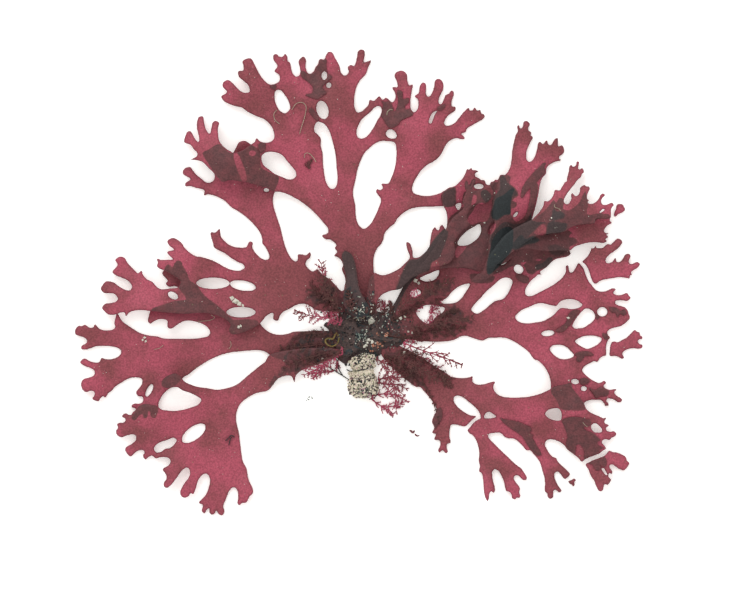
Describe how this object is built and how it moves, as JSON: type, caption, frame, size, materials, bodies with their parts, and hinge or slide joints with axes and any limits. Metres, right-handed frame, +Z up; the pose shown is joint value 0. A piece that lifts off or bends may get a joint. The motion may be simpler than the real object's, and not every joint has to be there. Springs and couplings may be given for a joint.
{
  "type": "dried callophyllis seaweed",
  "caption": "Whole red seaweed dried flat: forked ribbon fronds with toothed tips and windows spread like a fan round a dark holdfast with a lime knob and feathery tufts.",
  "frame": {"origin": "on the underside of the holdfast, at the level of the paper the plant lies on", "axes": "+X to the right across the fan, +Y up the fan towards the tallest frond, +Z up off the paper"},
  "size_m": [0.0485, 0.0398, 0.0046],
  "materials": {
    "red_frond": "dry, thin and slightly glossy, brown-red where blades lie double",
    "dark_strap": "dry, matt",
    "magenta_tuft": "dry, fine and matt",
    "holdfast_crust": "dry, rough, matt",
    "lime": "chalky, pitted"
  },
  "bodies": {
    "root": {"holdfast": "holdfast_crust", "lime_knob_upper": "lime", "lime_knob_lower": "lime", "frond_right": "red_frond", "fragment_right_upper": "red_frond", "fragment_right": "red_frond", "frond_lower_right": "red_frond", "fragment_lower_right": "red_frond", "scrap_lower_right": "red_frond", "frond_left": "red_frond", "frond_lower_left": "red_frond", "frond_upper_left": "red_frond", "frond_centre": "red_frond", "frond_upper_right_inner": "red_frond", "frond_upper_right_band": "red_frond", "frond_upper_right_tall": "red_frond", "frond_upper_right_low": "red_frond", "frond_upper_right_fan": "red_frond", "fragment_upper_right": "red_frond", "stem_strap": "dark_strap", "tuft_upper_left": "magenta_tuft", "tuft_left": "magenta_tuft", "tuft_lower_left": "magenta_tuft", "tuft_lower": "magenta_tuft", "tuft_lower_right": "magenta_tuft", "tuft_right_lower": "magenta_tuft", "tuft_right": "magenta_tuft", "tuft_upper_right": "magenta_tuft"}
  },
  "joints": []
}
